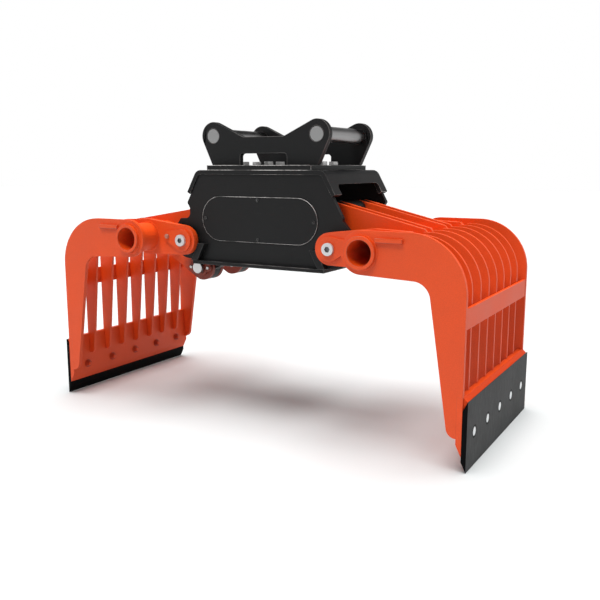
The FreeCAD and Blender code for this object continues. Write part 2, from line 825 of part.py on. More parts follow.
def keeper_bolts():
    front = -arm_face - keeper_thickness
    big = join(rod_y(pivot, keeper_bolt_head_dia / 2, front - keeper_bolt_head, front),
               rod_y(pivot, keeper_bolt_thread / 2, front, -arm_face + keeper_bolt_reach))
    socket = hexagon(Vector(pivot_x, front - keeper_bolt_head, pivot_height), Vector(0, 1, 0),
                     keeper_bolt_socket, keeper_bolt_socket_depth)
    small_at = keeper_screw_place()
    small = join(rod_y(small_at, keeper_screw_head_dia / 2, front - keeper_screw_head, front),
                 rod_y(small_at, keeper_screw_thread / 2, front, -arm_back))
    return both_y(big.cut(socket), small)


def lever_face(with_lug):
    """Outline of one lever plate; the jaw with the lug has a lower top edge outside the body."""
    top_edge = [lever_rear]
    if with_lug:
        top_edge.insert(0, (lever_pin_x + lug_lever_edge_run, lever_pin_height - lug_lever_edge_drop))
    top_edge.insert(0, tangent_point(top_edge[0], lever_pin, lever_end_r, 1))
    above = outline(top_edge + [(lever_rear[0] + overshoot, body_top), (top_edge[0][0], body_top)])
    web = outline(top_edge + [(top_plate_end_x, top_plate_height), tube])
    face = strap(lever_pin, lever_end_r, tube, lever_tube_r).cut(above)
    face = face.fuse(web).fuse(disc(lever_pin, lever_end_r))
    if with_lug:
        face = face.fuse(strap(lug_pin, lug_r, tube, lever_tube_r))
    return face.cut(behind_tube()).cut(disc(tube, tube_r))


def lever_plates(with_lug):
    """Inner and outer plate of each pair; the outer lug has a boss around its pin."""
    face = lever_face(with_lug)
    inner = plate(face, -lever_inner_y - lever_thickness, -lever_inner_y)
    outer = plate(face, -lever_pair_outer, -lever_outer_y)
    bores = [rod_y(lever_pin, lever_pin_dia / 2, -lever_pair_outer, -lever_inner_y)]
    if with_lug:
        boss_face = -lever_pair_outer - lug_boss_height
        outer = join(outer, rod_y(lug_pin, lug_boss_r, boss_face, -lever_pair_outer))
        bores.append(rod_y(lug_pin, lug_pin_dia / 2, boss_face, -lever_inner_y))
    return both_y(cut(inner, *bores), cut(outer, *bores))


# Cylinder and timing links

def long_lever_pin():
    end = lever_pair_outer + lever_pin_proud
    pin = rod_y(lever_pin, lever_pin_dia / 2, -end, end)
    return pin.makeChamfer(pin_chamfer, rims(pin))


def short_lever_pins():
    """Middle pin of the cylinder eye and the two outer stubs beside the open link eyes."""
    middle = rod_y(lever_pin, lever_pin_dia / 2, -lever_inner_y - lever_thickness,
                   lever_inner_y + lever_thickness)
    stub = rod_y(lever_pin, lever_pin_dia / 2, -lever_pair_outer - lever_pin_proud, -lever_outer_y)
    return [middle] + both_y(stub)


def lug_pins():
    pin = rod_y(lug_pin, lug_pin_dia / 2, -lever_pair_outer - lug_pin_proud, -lever_inner_y)
    pin = pin.makeChamfer(pin_chamfer, [e for e in rims(pin) if e.BoundBox.YMax < -lever_pair_outer])
    return both_y(flip_x(pin))


def timing_link():
    """Link from the left jaw's lower lug to the right jaw's lever pin."""
    low_end = (-lug_pin_x, lug_pin_height)
    waist = strap(low_end, link_waist / 2, lever_pin, link_waist / 2)
    face = waist.fuse(disc(low_end, lug_r - link_eye_inset)).fuse(disc(lever_pin, lever_end_r)).removeSplitter()
    inner = lever_inner_y + lever_thickness + link_side_gap
    outer = lever_outer_y - link_side_gap
    solid = plate(face, -outer, -inner)
    return cut(solid, rod_y(low_end, lug_pin_dia / 2 + running_gap, -outer, -inner),
               rod_y(lever_pin, lever_pin_dia / 2 + running_gap, -outer, -inner))


def cylinder_barrel():
    start = -lever_pin_x + barrel_start
    eye_at = (-lever_pin_x, lever_pin_height)
    eye = plate(disc(eye_at, eye_r), -eye_half_width, eye_half_width)
    neck_half = barrel_neck / 2
    neck = box(-lever_pin_x, start, -neck_half, neck_half, lever_pin_height - neck_half,
               lever_pin_height + neck_half)
    wall = rod_x(start - barrel_end_wall, barrel_end, 0, lever_pin_height, barrel_dia / 2)
    whole = join(eye, neck, wall)
    return cut(whole, rod_x(start, barrel_end, 0, lever_pin_height, bore_dia / 2),
               rod_y(eye_at, lever_pin_dia / 2 + running_gap, -eye_half_width, eye_half_width))


def cylinder_gland():
    end = barrel_end + gland_length
    collar = rod_x(barrel_end, end, 0, lever_pin_height, barrel_dia / 2)
    collar = collar.makeChamfer(gland_chamfer, [e for e in rims(collar) if e.BoundBox.XMin > end - near])
    return collar.cut(rod_x(barrel_end, end, 0, lever_pin_height, rod_dia / 2 + running_gap))


def cylinder_piston():
    start = -lever_pin_x + barrel_start + piston_stand_off
    return rod_x(start, start + piston_length, 0, lever_pin_height, bore_dia / 2 - running_gap)


def cylinder_rod():
    start = -lever_pin_x + barrel_start + piston_stand_off + piston_length
    stem = rod_x(start, lever_pin_x, 0, lever_pin_height, rod_dia / 2)
    neck = Part.makeCone(rod_dia / 2, eye_r, rod_end_thickness, Vector(rod_neck_start, 0, lever_pin_height),
                         Vector(1, 0, 0))
    eye = plate(disc(lever_pin, eye_r), -eye_half_width, eye_half_width)
    bore = rod_y(lever_pin, lever_pin_dia / 2 + running_gap, -eye_half_width, eye_half_width)
    return join(stem, neck, eye).cut(bore)


# Every piece by name

def root_pieces():
    front_plate = body_plate()
    front_cover = cover()
    return {
        "hitch_ear_front": hitch_ear(-1),
        "hitch_ear_rear": hitch_ear(1),
        "hitch_base_plate": hitch_base_plate(),
        "hitch_pin_left": hitch_pin(-1),
        "hitch_pin_right": hitch_pin(1),
        "hitch_bolts": hitch_bolts(),
        "body_shell": body_shell(),
        "body_plate_front": front_plate,
        "body_plate_rear": turned_half(front_plate),
        "body_floor": body_floor(),
        "cover_front": front_cover,
        "cover_rear": turned_half(front_cover),
        "cover_screws": cover_screws(),
        "pivot_bushes": pivot_bushes(),
        "thrust_washers": thrust_washers(),
        "closing_stops": closing_stops(),
        "port_block": port_block(),
    }


def jaw_pieces(side, place):
    """All pieces of one jaw, mirrored to the left where side is -1."""
    right = side > 0
    drawn = {
        "side_plate_front": side_plate(),
        "side_plate_rear": flip_y(side_plate()),
        "stiffener_bars": both_y(stiffener_bar()),
        "ribs": ribs(),
        "crossbar": crossbar(),
        "edge_carrier": edge_carrier(),
        "blade": blade(),
        "blade_bolts": [blade_bolt(y) for y in blade_bolt_places()],
        "blade_nuts": blade_nuts(),
        "torque_tube": torque_tube(),
        "top_plate": top_plate(),
        "pivot_arm_front": pivot_arm(),
        "pivot_arm_rear": flip_y(pivot_arm()),
        "pivot_pins": pivot_pins(),
        "keeper_plates": keeper_plates(),
        "keeper_bolts": keeper_bolts(),
        "lever_plates": lever_plates(with_lug=not right),
        "lever_pins": short_lever_pins() if right else long_lever_pin(),
    }
    pieces = {}
    for name, shape in drawn.items():
        group = shape if isinstance(shape, list) else [shape]
        if not right:
            group = [flip_x(solid) for solid in group]
        pieces[place + "_" + name] = group
    return pieces


def moving_pieces():
    front_link = timing_link()
    return {
        "left_lug_pins": lug_pins(),
        "cylinder_barrel": cylinder_barrel(),
        "cylinder_gland": cylinder_gland(),
        "cylinder_piston": cylinder_piston(),
        "cylinder_rod": cylinder_rod(),
        "timing_link_front": front_link,
        "timing_link_rear": flip_y(front_link),
    }


def write(name, shape):
    solids = shape if isinstance(shape, list) else [shape]
    flat = [part for solid in solids for part in solid.Solids]
    whole = flat[0] if len(flat) == 1 else Part.makeCompound(flat)
    whole.exportStep("parts/" + name + ".step")


def main():
    os.makedirs("parts", exist_ok=True)
    pieces = root_pieces()
    pieces.update(jaw_pieces(-1, "left"))
    pieces.update(jaw_pieces(1, "right"))
    pieces.update(moving_pieces())
    for name, shape in pieces.items():
        write(name, shape)


main()
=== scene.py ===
import json
import math

import bmesh
import bpy
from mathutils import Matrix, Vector

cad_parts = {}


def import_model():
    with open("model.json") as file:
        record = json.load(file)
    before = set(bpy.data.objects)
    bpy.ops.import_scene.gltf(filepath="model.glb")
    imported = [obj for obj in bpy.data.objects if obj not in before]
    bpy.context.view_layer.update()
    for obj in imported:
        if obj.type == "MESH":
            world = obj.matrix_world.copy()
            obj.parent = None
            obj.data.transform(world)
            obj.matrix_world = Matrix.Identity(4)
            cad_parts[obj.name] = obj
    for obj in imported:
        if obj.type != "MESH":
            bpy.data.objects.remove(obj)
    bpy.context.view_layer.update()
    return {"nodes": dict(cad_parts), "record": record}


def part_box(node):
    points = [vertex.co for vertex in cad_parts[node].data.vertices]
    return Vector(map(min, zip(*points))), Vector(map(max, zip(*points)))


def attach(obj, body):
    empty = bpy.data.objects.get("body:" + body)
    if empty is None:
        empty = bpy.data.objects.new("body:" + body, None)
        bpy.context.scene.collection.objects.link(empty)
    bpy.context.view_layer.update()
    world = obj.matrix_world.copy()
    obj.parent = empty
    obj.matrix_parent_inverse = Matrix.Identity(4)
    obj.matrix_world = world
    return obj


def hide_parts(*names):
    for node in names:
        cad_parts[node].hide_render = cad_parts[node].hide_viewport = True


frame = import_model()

# Sorting grapple, open and standing on its cutting edges. Lengths are in metres, in the part's own frame.

nodes = frame["nodes"]
behaviour = frame["record"]["behaviour"]
body_of_node = {name: body for body, names in behaviour["bodies"].items() for name in names}
sides = ((-1, "left"), (1, "right"))
ends = ((-1, "front"), (1, "rear"))

# Places that come from the frame. Each joint's axis runs along Y, so its place is an x and a z.
axis_of = {joint["name"]: (joint["pos_m"][0], joint["pos_m"][2]) for joint in behaviour["joints"]}
pivot = axis_of["jaw_right_pivot"]
lug_pin = axis_of["timing_link_front_pivot"]
blade_face_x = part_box("right_blade")[1].x
carrier_inner_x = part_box("right_edge_carrier")[0].x
carrier_outer_x, carrier_end_y, carrier_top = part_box("right_edge_carrier")[1]
side_back_y, side_face_y = (corner.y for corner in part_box("right_side_plate_rear"))
arm_face_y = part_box("right_pivot_arm_rear")[1].y
lug_boss_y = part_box("left_lever_plates")[1].y
keeper_bolt_top_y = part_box("right_keeper_bolts")[1].y
gland_end_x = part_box("cylinder_gland")[1].x
tube_low, tube_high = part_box("right_torque_tube")

# Torque tubes and the weld beads round them: a bead's mean size, and the shares of it that its fine ripples
# and its slow waves add
tube_r = 0.059
tube_x = (tube_low.x + tube_high.x) / 2
tube_z = tube_high.z - tube_r
weld_lift = 0.0015
weld_size = 0.0032
weld_ripples = 36
weld_ripple = 0.14
weld_waves = 7
weld_wave = 0.05
weld_wave_phase = 1

# Bolts of the cutting edges
blade_bolt_step = 0.158
blade_bolt_height = 0.123
blade_bolt_ring = 0.0240
blade_bolt_nut_side_x = 0.914
blade_bolts_beside_middle = 2
nut_washer_hole_r = 0.009
nut_washer_r = 0.0180
nut_washer_thickness = 0.0035
washer_edge_share = 0.12

# Seam between carrier and cutting edge: how far outside the carrier's face and how far below its top each
# corner lies, and how far the seam stays inside the carrier's ends
seam_corners = ((-0.0002, 0.0003), (0.0145, 0.0140), (-0.0002, 0.0430))
seam_end_inset = 0.008

# Bolts of the pivot keepers
keeper_socket_r = 0.0112
keeper_socket_depth = 0.007
keeper_socket_y = keeper_bolt_top_y - keeper_socket_depth
keeper_screws_from_x = 0.38

# Keeper tabs and their bolts on the lug pins
tab_thickness = 0.007
tab_broken_edge = 0.001
tab_length = 0.058
tab_half_width = 0.0165
tab_hole_r = 0.0255
tab_bolt_run = 0.0435
tab_bolt_r = 0.0065

# Broken edges. The nodes that are named here have only their long edges broken, each by a width of its own.
edge_round = 0.0020
small_edge_round = 0.0008
small_nodes = ("bolts", "screws", "nuts", "bushes", "washers", "piston", "port_block", "keeper_plates")
long_edge_round = {"hitch_base_plate": 0.0013, "body_shell": 0.0008, "cover_front": 0.0012,
                   "cover_rear": 0.0012}
shortest_long_edge = 0.0020
edge_steps = 2
sharp_angle = math.radians(32)
flat_angle = math.radians(0.5)
same_point = 1e-6

# Tests of a face: how near to a plane its centre lies, how much of its normal goes along one axis, and how
# much along each of two where it is slanted between them
near_plane = 0.0006
along_axis = 0.9
slanted = 0.7
slanted_range = 0.2

# Depth of a finish's relief
relief_depth = 0.0001
blade_relief_depth = 0.0002

# Lights and camera
above = (0, 0, 3)
front_high = (-0.2, -1.35, 2.5)
rear_high = (0.2, 1.35, 2.5)
softbox_x = 2.7
softbox_z = 0.7
softbox_size = 1.4
wall_light = 0.45
floor_size = 60
camera_place = (1.6372, -2.7392, 1.0099)
camera_tilt = math.radians(80)
camera_turn = math.radians(30)
camera_lens = 45.24
camera_sensor = 36


# Node helpers for materials

def new_material(name):
    material = bpy.data.materials.new(name)
    material.use_nodes = True
    tree = material.node_tree
    return material, tree, tree.nodes["Principled BSDF"]


def place(tree):
    """Object coordinates, which stay with a piece as it moves."""
    return tree.nodes.new("ShaderNodeTexCoord").outputs["Object"]


def mapped(tree, scale=(1, 1, 1), turn=(0, 0, 0)):
    mapping = tree.nodes.new("ShaderNodeMapping")
    mapping.inputs["Scale"].default_value = scale
    mapping.inputs["Rotation"].default_value = turn
    tree.links.new(place(tree), mapping.inputs["Vector"])
    return mapping.outputs["Vector"]


def noise(tree, vector, scale, detail=4.0, rough=0.55):
    node = tree.nodes.new("ShaderNodeTexNoise")
    node.inputs["Scale"].default_value = scale
    node.inputs["Detail"].default_value = detail
    node.inputs["Roughness"].default_value = rough
    tree.links.new(vector, node.inputs["Vector"])
    return node.outputs["Fac"]


def grey(level):
    return (level, level, level)


def scaled(colour, factor):
    return tuple(min(level * factor, 1) for level in colour)


def ramp(tree, value, low, high, low_colour, high_colour):
    """One colour up to low, another from high on, and a blend between."""
    node = tree.nodes.new("ShaderNodeValToRGB")
    first, last = node.color_ramp.elements
    first.position = low
    last.position = high
    first.color = (*low_colour, 1)
    last.color = (*high_colour, 1)
    tree.links.new(value, node.inputs["Fac"])
    return node.outputs["Color"]


def blend_colours(tree, factor, first, second):
    """From first to second by factor. Each is a socket or a constant."""
    node = tree.nodes.new("ShaderNodeMix")
    node.data_type = "RGBA"
    for value, socket in zip((factor, first, second), (node.inputs[key] for key in ("Factor", "A", "B"))):
        if isinstance(value, float):
            socket.default_value = value
        elif isinstance(value, tuple):
            socket.default_value = (*value, 1)
        else:
            tree.links.new(value, socket)
    return node.outputs["Result"]


def tint(tree, base, factor):
    multiply = tree.nodes.new("ShaderNodeMix")
    multiply.data_type = "RGBA"
    multiply.blend_type = "MULTIPLY"
    multiply.inputs["Factor"].default_value = 1.0
    tree.links.new(base, multiply.inputs["A"])
    tree.links.new(factor, multiply.inputs["B"])
    return multiply.outputs["Result"]


def arithmetic(tree, operation, first, second):
    """A Math node. Each of first and second is a socket or a number."""
    node = tree.nodes.new("ShaderNodeMath")
    node.operation = operation
    for value, socket in zip((first, second), node.inputs):
        if isinstance(value, (int, float)):
            socket.default_value = value
        else:
            tree.links.new(value, socket)
    return node.outputs[0]


def weighed(tree, first, second, share):
    """First by its share, plus second by what is left."""
    return arithmetic(tree, "ADD", arithmetic(tree, "MULTIPLY", first, share),
                      arithmetic(tree, "MULTIPLY", second, 1 - share))


def bump(tree, shader, height, strength, depth=relief_depth):
    node = tree.nodes.new("ShaderNodeBump")
    node.inputs["Strength"].default_value = strength
    node.inputs["Distance"].default_value = depth
    tree.links.new(height, node.inputs["Height"])
    tree.links.new(node.outputs["Normal"], shader.inputs["Normal"])


# Materials

def paint(name, colour, dusty, worn, specular, roughness, scratches=0.0):
    """Powder coat: slight drift of tone, fine orange-peel grain, faint rubbed patches and scratches."""
    material, tree, shader = new_material(name)
    vector = mapped(tree)
    drift = noise(tree, vector, scale=3.5, detail=3.0)
    tone = ramp(tree, drift, 0.35, 0.68, scaled(colour, 0.94), scaled(colour, 1.05))
    speckle = noise(tree, vector, scale=380.0, detail=2.0)
    coloured = tint(tree, tone, ramp(tree, speckle, 0.40, 0.62, grey(0.93), grey(1.03)))
    scuffs = noise(tree, mapped(tree, (1, 1, 4), (0.3, 0.5, 0.2)), scale=14.0, detail=9.0, rough=0.72)
    scuff = arithmetic(tree, "MULTIPLY", arithmetic(tree, "GREATER_THAN", scuffs, 0.70), 0.30)
    coloured = blend_colours(tree, scuff, coloured, worn)
    film = ramp(tree, noise(tree, vector, scale=1.7, detail=5.0), 0.45, 0.80, grey(0), grey(0.06))
    coloured = blend_colours(tree, film, coloured, dusty)
    if scratches:
        lines = noise(tree, mapped(tree, (1, 1, 26), (0.2, 0.9, 0.3)), scale=22.0, detail=2.0, rough=0.4)
        patches = noise(tree, vector, scale=5.0, detail=2.0)
        line = arithmetic(tree, "MULTIPLY", arithmetic(tree, "GREATER_THAN", lines, 0.73),
                          arithmetic(tree, "GREATER_THAN", patches, 0.52))
        coloured = blend_colours(tree, arithmetic(tree, "MULTIPLY", line, scratches), coloured, worn)
    tree.links.new(coloured, shader.inputs["Base Color"])
    rough = ramp(tree, drift, 0.3, 0.7, grey(roughness - 0.05), grey(roughness + 0.06))
    tree.links.new(rough, shader.inputs["Roughness"])
    shader.inputs["Specular IOR Level"].default_value = specular
    bump(tree, shader, noise(tree, vector, scale=900.0, detail=2.0), strength=0.35)
    return material


def darken_round_pin_as_painted_shade(material, spot, near, far, shade_colour):
    """Painted shade: darker paint on a painted piece round a pin that runs along Y, where the body above
    shades it, strongest up to near and gone at far.
    """
    tree = material.node_tree
    colour = tree.nodes["Principled BSDF"].inputs["Base Color"]
    coat = colour.links[0].from_socket
    distance = tree.nodes.new("ShaderNodeVectorMath")
    distance.operation = "DISTANCE"
    tree.links.new(mapped(tree, (1, 0, 1)), distance.inputs[0])
    distance.inputs[1].default_value = (spot[0], 0, spot[1])
    unevenness = arithmetic(tree, "MULTIPLY", noise(tree, mapped(tree), scale=40.0, detail=3.0), 0.03)
    uneven_distance = arithmetic(tree, "ADD", distance.outputs["Value"], unevenness)
    mask = ramp(tree, uneven_distance, near, far, grey(0.85), grey(0))
    tree.links.new(blend_colours(tree, mask, coat, shade_colour), colour)
    return material


def edge_wear_and_painted_highlight(name, colour, rubbed, specular, roughness, low=0.46, high=0.66):
    """The broken edges of a painted plate, where the coat is thin and rubbed in places; the rubbed colour
    also stands for painted highlights and sheen where edges catch the light.
    """
    material, tree, shader = new_material(name)
    vector = mapped(tree)
    wear = noise(tree, vector, scale=7.0, detail=3.0)
    fine = noise(tree, vector, scale=90.0, detail=3.0)
    mixed = weighed(tree, wear, fine, 0.75)
    tree.links.new(ramp(tree, mixed, low, high, colour, rubbed), shader.inputs["Base Color"])
    rough = ramp(tree, fine, 0.3, 0.7, grey(roughness), grey(roughness + 0.1))
    tree.links.new(rough, shader.inputs["Roughness"])
    shader.inputs["Specular IOR Level"].default_value = specular
    bump(tree, shader, fine, strength=0.3)
    return material


def bare_steel(name, colour, roughness, marks_along, metallic=1.0, contrast=0.12, specular=0.5, relief=0.3):
    """Turned or ground steel with fine marks, stretched along the axis where marks_along is least."""
    material, tree, shader = new_material(name)
    marks = noise(tree, mapped(tree, marks_along), scale=60.0, detail=6.0, rough=0.6)
    shades = ramp(tree, marks, 0.3, 0.7, scaled(colour, 1 - contrast), scaled(colour, 1 + contrast))
    tree.links.new(shades, shader.inputs["Base Color"])
    rough = ramp(tree, marks, 0.3, 0.7, grey(roughness - 0.06), grey(roughness + 0.08))
    tree.links.new(rough, shader.inputs["Roughness"])
    shader.inputs["Metallic"].default_value = metallic
    shader.inputs["Specular IOR Level"].default_value = specular
    bump(tree, shader, marks, strength=relief)
    return material


def round_blade_bolts(tree):
    """One inside a ring round each bolt of a cutting edge, where the painted shade goes, and nought outside.
    """
    split = tree.nodes.new("ShaderNodeSeparateXYZ")
    tree.links.new(place(tree), split.inputs[0])
    whole_steps_past_end = 10
    shift = (whole_steps_past_end + 0.5) * blade_bolt_step
    shifted = arithmetic(tree, "ADD", split.outputs["Y"], shift)
    within_step = arithmetic(tree, "MODULO", shifted, blade_bolt_step)
    across = arithmetic(tree, "SUBTRACT", within_step, blade_bolt_step / 2)
    height = arithmetic(tree, "SUBTRACT", split.outputs["Z"], blade_bolt_height)
    square = arithmetic(tree, "ADD", arithmetic(tree, "MULTIPLY", across, across),
                        arithmetic(tree, "MULTIPLY", height, height))
    return arithmetic(tree, "LESS_THAN", square, blade_bolt_ring ** 2)


def blade_front():
    """The ground outer face of a cutting edge: upright streaks, with painted shade in a dark ring round each
    bolt head, as a recess would cast.
    """
    material, tree, shader = new_material("ground_blade_face")
    streaks = noise(tree, mapped(tree, (1, 110, 7), (0.10, 0, 0)), scale=4.0, detail=4.0, rough=0.65)
    broad = noise(tree, mapped(tree, (1, 2, 1.5)), scale=3.0, detail=3.0, rough=0.5)
    shades = ramp(tree, weighed(tree, streaks, broad, 0.8), 0.38, 0.62, grey(0.016), (0.066, 0.066, 0.067))
    # Painted shade: a near-black ring round each bolt head
    with_painted_shade_rings = blend_colours(tree, round_blade_bolts(tree), shades, grey(0.004))
    tree.links.new(with_painted_shade_rings, shader.inputs["Base Color"])
    tree.links.new(ramp(tree, streaks, 0.3, 0.7, grey(0.52), grey(0.64)), shader.inputs["Roughness"])
    shader.inputs["Specular IOR Level"].default_value = 0.10
    bump(tree, shader, streaks, strength=0.35, depth=blade_relief_depth)
    return material


orange_coat = {
    "colour": (0.67, 0.062, 0.005), "dusty": (0.70, 0.09, 0.02), "worn": (0.42, 0.09, 0.045),
    "specular": 0.50, "roughness": 0.56}
orange = paint("orange_powder_coat", **orange_coat)
# Orange with painted shade round the lug pin, which lies in the shade under the body
orange_painted_shade_round_lug_pin = darken_round_pin_as_painted_shade(paint("orange_powder_coat_painted_shade_round_lug_pin", **orange_coat), lug_pin, near=0.075,
                              far=0.130, shade_colour=(0.11, 0.020, 0.013))
seam_orange = paint("orange_over_weld", (0.56, 0.044, 0.003), dusty=(0.60, 0.06, 0.01),
                    worn=(0.42, 0.09, 0.045), specular=0.25, roughness=0.60)
black = paint("black_powder_coat", (0.0088, 0.0088, 0.0092), dusty=(0.018, 0.017, 0.016),
              worn=(0.030, 0.029, 0.028), specular=0.2, roughness=0.50, scratches=0.5)
screw_black = paint("black_screw_heads", grey(0.004), dusty=grey(0.010), worn=grey(0.02), specular=0.1,
                    roughness=0.5)

# Broken edges of the orange coat: a little darker, rubbed paint in places, and paler pinkish patches that are
# painted sheen
orange_edge_painted_sheen = edge_wear_and_painted_highlight("orange_edge_rubbed_and_painted_sheen", (0.50, 0.048, 0.006), rubbed=(0.50, 0.11, 0.06),
                          specular=0.5, roughness=0.45)
# Nuts and their washers: orange darkened as painted shade round them, with a little rubbed variation
nut_orange_painted_shade = edge_wear_and_painted_highlight("nuts_painted_shade", (0.36, 0.026, 0.003), rubbed=(0.52, 0.050, 0.008), specular=0.5,
                         roughness=0.45)
# Small keeper screws: worn orange paint, with pale patches that are painted glints
worn_screw_painted_glints = edge_wear_and_painted_highlight("worn_orange_screws_painted_glints", (0.35, 0.040, 0.008), rubbed=(0.42, 0.24, 0.19),
                         specular=0.4, roughness=0.40, low=0.40, high=0.60)
# Broken edges of black plates: rubbed paint, with pale patches that are painted highlight lines
black_edge_painted_highlight = edge_wear_and_painted_highlight("black_edge_rubbed_and_painted_highlight", grey(0.018), rubbed=(0.13, 0.12, 0.115), specular=0.4,
                         roughness=0.34, low=0.44, high=0.60)
# Broken edges of the hitch base plate and covers: pale patches that are painted highlight lines
bright_edge_painted_highlight = edge_wear_and_painted_highlight("bright_edge_painted_highlight_lines", (0.09, 0.087, 0.084), rubbed=(0.70, 0.67, 0.65),
                          specular=0.5, roughness=0.30, low=0.44, high=0.58)
# Broken edges of the body shell: rubbed paint, with pale patches that are painted highlight lines
shell_edge_painted_highlight = edge_wear_and_painted_highlight("shell_edge_rubbed_and_painted_highlight", (0.035, 0.034, 0.033), rubbed=(0.40, 0.38, 0.36),
                         specular=0.4, roughness=0.32, low=0.48, high=0.62)
# Rims of the cover screws: grey patches that are painted highlight rings
screw_rim_painted_highlight = edge_wear_and_painted_highlight("screw_rims_painted_highlight", grey(0.02), rubbed=grey(0.22), specular=0.3, roughness=0.40,
                        low=0.40, high=0.58)

blade_face = blade_front()
# Dark steel of a cutting edge but for its ground outer face: partly its own dark colour, partly painted
# shade, as the inner face stays in shade
blade_steel_with_painted_shade = bare_steel("blade_steel_with_painted_shade", (0.0035, 0.0035, 0.0038), 0.50, marks_along=(9, 9, 0.5), metallic=0.0,
                         contrast=0.45, specular=0.03)
blade_edge = bare_steel("blade_broken_edges", grey(0.003), 0.60, marks_along=(4, 4, 4), metallic=0.0,
                        contrast=0.30, specular=0.0)
pin_steel = bare_steel("turned_pin_steel", (0.25, 0.246, 0.246), 0.30, marks_along=(0.1, 0.4, 0.1),
                       contrast=0.03, relief=0.0)
pin_end = bare_steel("faced_pin_end", (0.312, 0.310, 0.310), 0.42, marks_along=(8, 1, 8), contrast=0.05)
bright_end = bare_steel("bright_pin_end", grey(0.60), 0.40, marks_along=(8, 1, 8), contrast=0.05)
chrome_rod = bare_steel("chromed_rod", (0.50, 0.51, 0.53), 0.12, marks_along=(1, 8, 8), contrast=0.04)
dark_steel = bare_steel("oiled_dark_steel", (0.010, 0.0098, 0.0098), 0.45, marks_along=(4, 4, 4),
                        metallic=0.0, contrast=0.30, specular=0.2)
bronze = bare_steel("bearing_bronze", (0.45, 0.28, 0.12), 0.38, marks_along=(4, 4, 4), contrast=0.15)
zinc = bare_steel("zinc_plated_bolts", (0.72, 0.73, 0.74), 0.34, marks_along=(6, 6, 6), metallic=0.5,
                  contrast=0.10)
keeper_zinc = bare_steel("zinc_plated_keeper_bolts", (0.58, 0.585, 0.59), 0.36, marks_along=(6, 6, 6),
                         metallic=0.5)
hitch_zinc = bare_steel("weathered_zinc_bolts", (0.56, 0.55, 0.545), 0.38, marks_along=(3, 3, 3),
                        metallic=0.7, contrast=0.10)
# Painted shade in the keeper bolts' hex sockets: a near-black wall and a dark floor
socket_wall_painted_shade = bare_steel("shaded_hex_socket", (0.06, 0.06, 0.062), 0.45, marks_along=(6, 6, 6),
                         metallic=0.3, contrast=0.2)
socket_floor_painted_shade = bare_steel("hex_socket_floor_painted_shade", (0.16, 0.16, 0.165), 0.45, marks_along=(6, 6, 6),
                          metallic=0.5, contrast=0.2)


def finish_of(name):
    """The material of a node's faces and that of its broken edges."""
    if name.startswith(("hitch_base", "cover_front", "cover_rear")):
        return black, bright_edge_painted_highlight
    if name == "body_shell":
        return black, shell_edge_painted_highlight
    if name.startswith(("hitch_ear", "body_", "closing", "port_block", "timing_link", "cylinder_barrel",
                        "cylinder_gland")):
        return black, black_edge_painted_highlight
    if name == "cover_screws":
        return screw_black, screw_rim_painted_highlight
    if name == "left_lever_plates":
        return orange_painted_shade_round_lug_pin, orange_edge_painted_sheen
    if name.endswith("blade"):
        return blade_steel_with_painted_shade, blade_edge
    if name.endswith("blade_nuts"):
        return nut_orange_painted_shade, nut_orange_painted_shade
    if name.endswith("blade_bolts"):
        return zinc, zinc
    if name.endswith("keeper_bolts"):
        return keeper_zinc, keeper_zinc
    if name == "hitch_bolts":
        return hitch_zinc, hitch_zinc
    if name.startswith("hitch_pin") or name.endswith(("pivot_pins", "lever_pins", "lug_pins")):
        return pin_steel, pin_steel
    if name in ("cylinder_rod", "cylinder_piston"):
        return chrome_rod, chrome_rod
    if name in ("pivot_bushes", "thrust_washers"):
        return bronze, bronze
    return orange, orange_edge_painted_sheen


def faces_along_y(centre, normal):
    return abs(normal.y) > along_axis


def blade_outside(centre, normal):
    return abs(centre.x) > blade_face_x - near_plane and abs(normal.x) > along_axis


def plate_corner(centre, normal):
    return all(abs(abs(share) - slanted) < slanted_range for share in (normal.x, normal.y))


def keeper_screw(centre, normal):
    return abs(centre.x) > keeper_screws_from_x


def in_socket_floor(centre, normal):
    return abs(abs(centre.y) - keeper_socket_y) < near_plane and faces_along_y(centre, normal)


def in_socket_wall(centre, normal):
    from_pivot = math.hypot(abs(centre.x) - pivot[0], centre.z - pivot[1])
    return from_pivot < keeper_socket_r and not faces_along_y(centre, normal)


def nut_side(centre, normal):
    return abs(centre.x) < blade_bolt_nut_side_x


def past_gland(centre, normal):
    return centre.x > gland_end_x


def other_finish(name):
    """Faces of a node that have a finish of their own: pairs of a test and a material."""
    if name.endswith("blade"):
        return [(blade_outside, blade_face)]
    if name.endswith("keeper_bolts"):
        return [(keeper_screw, worn_screw_painted_glints), (in_socket_floor, socket_floor_painted_shade), (in_socket_wall, socket_wall_painted_shade)]
    if name.endswith("blade_bolts"):
        return [(nut_side, orange)]
    if name.startswith("hitch_pin"):
        return [(faces_along_y, pin_end)]
    if name.endswith("lug_pins"):
        return [(faces_along_y, bright_end)]
    if name == "hitch_base_plate":
        # The base plate's upright corners carry painted highlight lines
        return [(plate_corner, bright_edge_painted_highlight)]
    if name == "cylinder_rod":
        return [(past_gland, dark_steel)]
    return []


# Pieces with broken edges, one for each node of the frame

def new_collection(name):
    collection = bpy.data.collections.new(name)
    bpy.context.scene.collection.children.link(collection)
    return collection


dressed = new_collection("dressed")


def evaluated(piece):
    """Gives a piece the mesh that its modifiers make, and removes the modifiers."""
    bpy.context.view_layer.update()
    shape = bpy.data.meshes.new_from_object(piece.evaluated_get(bpy.context.evaluated_depsgraph_get()))
    piece.modifiers.clear()
    piece.data = shape
    return shape


def smooth_between_sharp_edges(shape):
    shape.polygons.foreach_set("use_smooth", [True] * len(shape.polygons))
    shape.set_sharp_from_angle(angle=sharp_angle)


